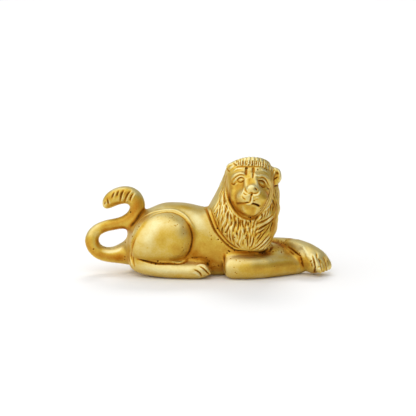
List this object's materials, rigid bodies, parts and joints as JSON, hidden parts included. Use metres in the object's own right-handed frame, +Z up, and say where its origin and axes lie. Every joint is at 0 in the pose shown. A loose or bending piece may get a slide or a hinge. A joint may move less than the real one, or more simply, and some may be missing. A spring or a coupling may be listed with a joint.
{
  "type": "lion figure",
  "caption": "Cast brass figure of a lying lion, head turned to its right, forepaws crossed and tail curled up behind; a table ornament that rests on its flat underside.",
  "frame": {"origin": "on the flat underside, under the belly, in the plane that halves the body", "axes": "+X from the tail towards the forepaws, -Y the side that the face looks to, +Z up"},
  "size_m": [0.1205, 0.0446, 0.0584],
  "materials": {
    "brass": "satin cast brass, polished on the high places, orange-brown in the grooves, with small dark casting pits"
  },
  "bodies": {
    "root": {"lion": "brass"}
  },
  "joints": []
}
